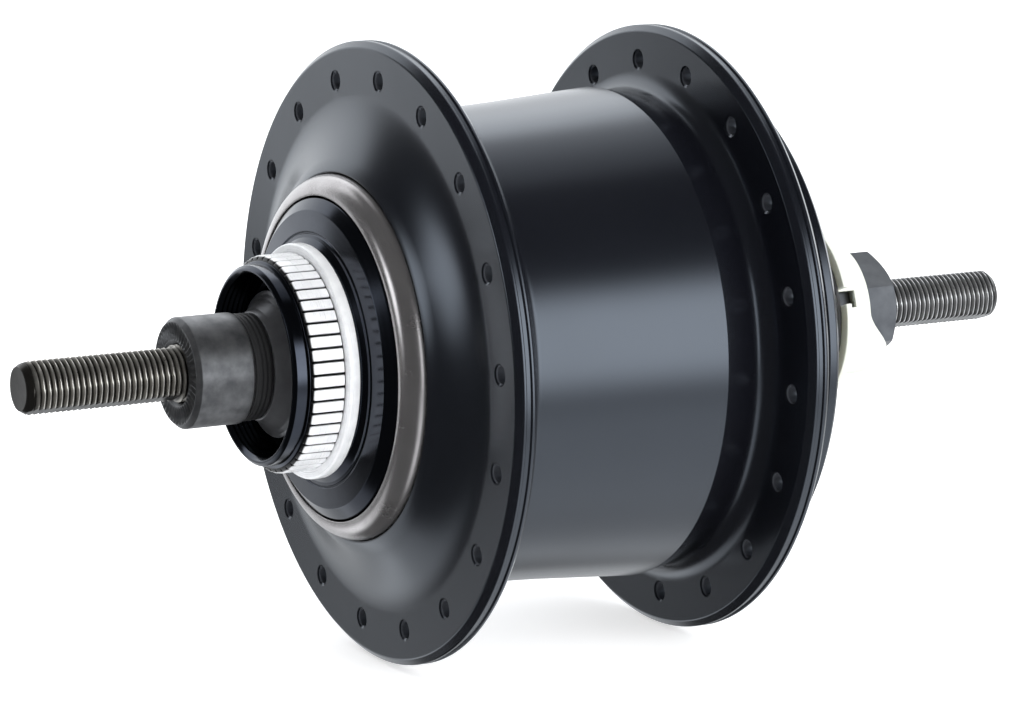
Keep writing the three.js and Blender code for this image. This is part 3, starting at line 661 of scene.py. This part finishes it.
def swung(outline, degrees):
    """An [x, z] outline turned about the hub's axis."""
    c, s = math.cos(math.radians(degrees)), math.sin(math.radians(degrees))
    return [(x * c + z * s, -x * s + z * c) for x, z in outline]


notch_box = [(-3, 15.6), (3, 15.6), (3, 19), (-3, 19)]
notches = [prism("notch", swung(notch_box, degrees), -51, -37.4) for degrees in (60, 180, 300)]
carve(driver, merged("notch_cutters", notches))
fit(driver, "driver", DRIVER)

snap_loop = dense(fillet([
    (16.55, -47.15, 0.15), (18.65, -47.15, 0.15), (18.65, -46.15, 0.15), (16.55, -46.15, 0.15),
], 3), 1.0)
snap = lathe("snap_ring_wire", snap_loop, 192)
half_gap = 20 * math.sin(0.28)
gap = prism("snap_gap", [(0, 10), (-half_gap, 20), (half_gap, 20)], -49, -44)
carve(snap, gap)
fit(snap, "snap_ring", PINS)

cap_drive = [
    (10.6, -51.2, 0.15), (10.6, -50.1, 0.1), (12.4, -48.2, 0), (13.2, -48.2, 0), (13.2, -50.1, 0),
    (16.6, -50.1, 0.15), (15.8, -51.2, 0.3), (14.6, -51.2, 0.05), (14.4, -51.0, 0.05), (13.9, -51.0, 0.05),
    (13.7, -51.2, 0.05),
]
fit(lathe("driver_end_cap", fillet(cap_drive, 4), 160), "driver_cap", PLASTIC)
shield = [
    (19.6, -34.85, 0.1), (34.4, -32.9, 0.1), (34.6, -33.5, 0.25), (30.2, -34.1, 0.05),
    (29.9, -33.95, 0.05), (29.4, -34.0, 0.05), (29.2, -34.25, 0.05), (19.6, -35.5, 0.2),
]
fit(lathe("driver_dust_shield", fillet(shield, 4), 224), "driver_shield", PLASTIC)

SKIRT = 4.6              # how far the keeper's end drops
SKIRT_FROM = 182         # and the middle of that stretch, in degrees
SKIRT_Y = -53.2          # the skirt begins here
KEEPER_SLOT = 19         # degrees that the keeper's slot is turned by


def skirt(r, y, a):
    """The keeper's outer end drops away from the nut on the upper half."""
    if y > SKIRT_Y or r < 10.95:
        return r, y
    off = abs(math.degrees(a) % 360 - SKIRT_FROM)
    t = min(1.0, max(0.0, (94 - off) / 40))
    t = t * t * (3 - 2 * t)
    return r, y - SKIRT * t * min(1.0, (SKIRT_Y - y) / 6.8)


keeper_loop = dense(fillet([
    (17.2, -51.5, 0.15), (17.2, -52.7, 0.4), (11.75, -52.9, 0.5), (11.7, -60, 0.3), (10.96, -60, 0.1),
    (10.7, -60, 0.0), (8.3, -60, 0.1), (8.3, -57.6, 0), (10.9, -57.6, 0), (10.9, -51.5, 0.1),
], 4), 1.2)
keeper = lathe("keeper", keeper_loop, 160, skirt)
slot_box = [(-18, -1.5), (-10, -1.5), (-10, 1.5), (-18, 1.5)]
carve(keeper, prism("keeper_slot", swung(slot_box, KEEPER_SLOT), -57, -50))
fit(keeper, "joint_keeper", NYLON)

NUT_AF = 17              # across the hexagon's flats
corner = NUT_AF / 2 / math.cos(math.pi / 6)
hexagon = [(corner * math.sin(TAU * i / 6), corner * math.cos(TAU * i / 6)) for i in range(6)]
hex_nut = prism("hex_nut", hexagon, -67.5, -60.1)
chamfered = lathe("hex_turn", fillet([
    (4.9, -67.6, 0), (8.3, -67.5, 0), (9.85, -66.6, 0.3), (9.85, -61.1, 0.3), (9.0, -60.05, 0),
    (4.9, -60.0, 0),
], 4), 192)
carve(hex_nut, chamfered, "INTERSECT")
fit(hex_nut, "lock_nut_drive", ZINC)


# ------------------------------------------------------------------ stage, camera and light
def plain_stage(name, colour, glow):
    """A faintly uneven matt surface that glows."""
    m = Net(name)
    tone = m.noise(3.0, 3.0)
    paler = tuple(min(1.0, c + 0.01) for c in colour)
    mat = m.done(m.blend(m.between(tone, 0.0, 1.0), paler, colour), 0.8, Specular_IOR_Level=0.1)
    m.bsdf.inputs["Emission Color"].default_value = (1.0, 1.0, 1.0, 1.0)
    m.bsdf.inputs["Emission Strength"].default_value = glow
    return mat


def disc(name, radius, z, mat, rings=6, seg=64):
    """A flat round floor. Its rings are closer together near the middle."""
    bm = bmesh.new()
    centre = bm.verts.new((0, 0, z))
    last = None
    for k in range(1, rings + 1):
        reach = radius * (k / rings) ** 2
        turns = [TAU * j / seg for j in range(seg)]
        row = [bm.verts.new((reach * math.cos(a), reach * math.sin(a), z)) for a in turns]
        for j in range(seg):
            n = (j + 1) % seg
            bm.faces.new([centre, row[j], row[n]] if last is None else [last[j], row[j], row[n], last[n]])
        last = row
    obj = finish_mesh(bm, name)
    obj.data.materials.append(mat)
    return obj


STAGE_R = 8.2            # metres

# The floor and the backdrop stay out of reflections: the world's panels below are what the gloss shows.
floor_white = plain_stage("floor_white", (0.90, 0.90, 0.91), 0.62)
floor = disc("studio_floor", STAGE_R - 0.4, cad_lo.z - 0.0002, floor_white)
floor.visible_glossy = False

bm = bmesh.new()
bmesh.ops.create_icosphere(bm, subdivisions=5, radius=STAGE_R)
bmesh.ops.reverse_faces(bm, faces=bm.faces)
backdrop = finish_mesh(bm, "studio_backdrop")
backdrop.data.materials.append(plain_stage("backdrop_white", (0.0, 0.0, 0.0), 1.05))
for ray in ("diffuse", "glossy", "transmission", "volume_scatter", "shadow"):
    setattr(backdrop, "visible_" + ray, False)

camera_data = bpy.data.cameras.new("camera")
camera_data.lens = 140.95
camera_data.sensor_width = 36.0
camera_data.clip_start = 0.01
camera_data.clip_end = 50.0
camera = bpy.data.objects.new("camera", camera_data)
bpy.context.scene.collection.objects.link(camera)
right = Vector((-0.4741, -0.8805, 0.0)).normalized()
up = Vector((0.16384, -0.08822, 0.98253)).normalized()
behind = right.cross(up).normalized()
camera.matrix_world = Matrix.Translation(Vector((-0.59039, 0.32310, 0.12449))) @ Matrix(
    ((right.x, up.x, behind.x), (right.y, up.y, behind.y), (right.z, up.z, behind.z))).to_4x4()
bpy.context.scene.camera = camera

world = bpy.data.worlds.new("studio")
world.use_nodes = True
sky = world.node_tree
background = sky.nodes["Background"]
direction = sky.nodes.new("ShaderNodeTexCoord").outputs["Generated"]


def sky_math(op, a, b=0.0):
    """One math node in the world's tree."""
    n = sky.nodes.new("ShaderNodeMath")
    n.operation = op
    for value, socket in zip((a, b), n.inputs):
        if hasattr(value, "links"):
            sky.links.new(value, socket)
        else:
            socket.default_value = value
    return n.outputs[0]


def sky_dot(v):
    """How far the direction looked in points along v."""
    n = sky.nodes.new("ShaderNodeVectorMath")
    n.operation = "DOT_PRODUCT"
    sky.links.new(direction, n.inputs[0])
    n.inputs[1].default_value = v
    return n.outputs["Value"]


def sky_fade(angle, half, soft):
    """1 inside half degrees of the middle and 0 outside, with a soft edge."""
    fade = sky.nodes.new("ShaderNodeMapRange")
    fade.interpolation_type = "SMOOTHSTEP"
    sky.links.new(sky_math("ABSOLUTE", angle), fade.inputs["Value"])
    fade.inputs["From Min"].default_value = math.radians(half + soft / 2)
    fade.inputs["From Max"].default_value = math.radians(half - soft / 2)
    return fade.outputs["Result"]


def panel(azimuth, elevation, half_w, half_h, soft, level):
    """One soft studio panel, in degrees. Azimuth is from +X towards +Y. Its edges fade over soft degrees."""
    a = math.radians(azimuth)
    aside, ahead = sky_dot((-math.sin(a), math.cos(a), 0)), sky_dot((math.cos(a), math.sin(a), 0))
    turn = sky_math("ARCTAN2", aside, ahead)
    climb = sky_math("SUBTRACT", sky_math("ARCSINE", sky_dot((0, 0, 1))), math.radians(elevation))
    lit = sky_math("MULTIPLY", sky_fade(turn, half_w, soft), sky_fade(climb, half_h, soft))
    return sky_math("MULTIPLY", lit, level)


PANELS = [
    (-24, 20, 54, 29, 6, 1.5),        # back wall
    (-48, 46, 44, 20, 18, 0.8),       # brighter high up on it
    (-10, -28, 40, 15, 8, 0.8),       # the pale ground below it
    (-150, 8, 20, 19, 16, 3.4),       # large box to the right of the camera
    (74, 11, 11, 9, 10, 2.6),         # narrow box on the left
    (-112, -44, 70, 28, 26, 1.15),    # light thrown up from the right
    (36, -38, 18, 12, 12, 0.9),       # and a little from the back
]
total = 0.05     # the dim room round the panels
for spec in PANELS:
    total = sky_math("ADD", total, panel(*spec))
sky.links.new(total, background.inputs["Strength"])
background.inputs["Color"].default_value = (0.94, 0.97, 1.0, 1.0)
bpy.context.scene.world = world


def softbox(name, place, size, power):
    """A wide lamp that lights pale and matt surfaces but leaves no mark in the gloss."""
    light = bpy.data.lights.new(name, "AREA")
    light.shape = "RECTANGLE"
    light.size, light.size_y = size
    light.energy = power
    obj = bpy.data.objects.new(name, light)
    obj.location = place
    obj.rotation_mode = "QUATERNION"
    obj.rotation_quaternion = (-Vector(place)).to_track_quat("-Z", "Y")
    obj.visible_glossy = False
    obj.visible_camera = False
    bpy.context.scene.collection.objects.link(obj)


softbox("fill_front", (-1.1, -0.2, 0.7), (1.2, 1.0), 16)
softbox("fill_top", (0.1, 0.1, 1.7), (2.2, 2.2), 26)

bpy.context.scene.view_settings.view_transform = "Standard"
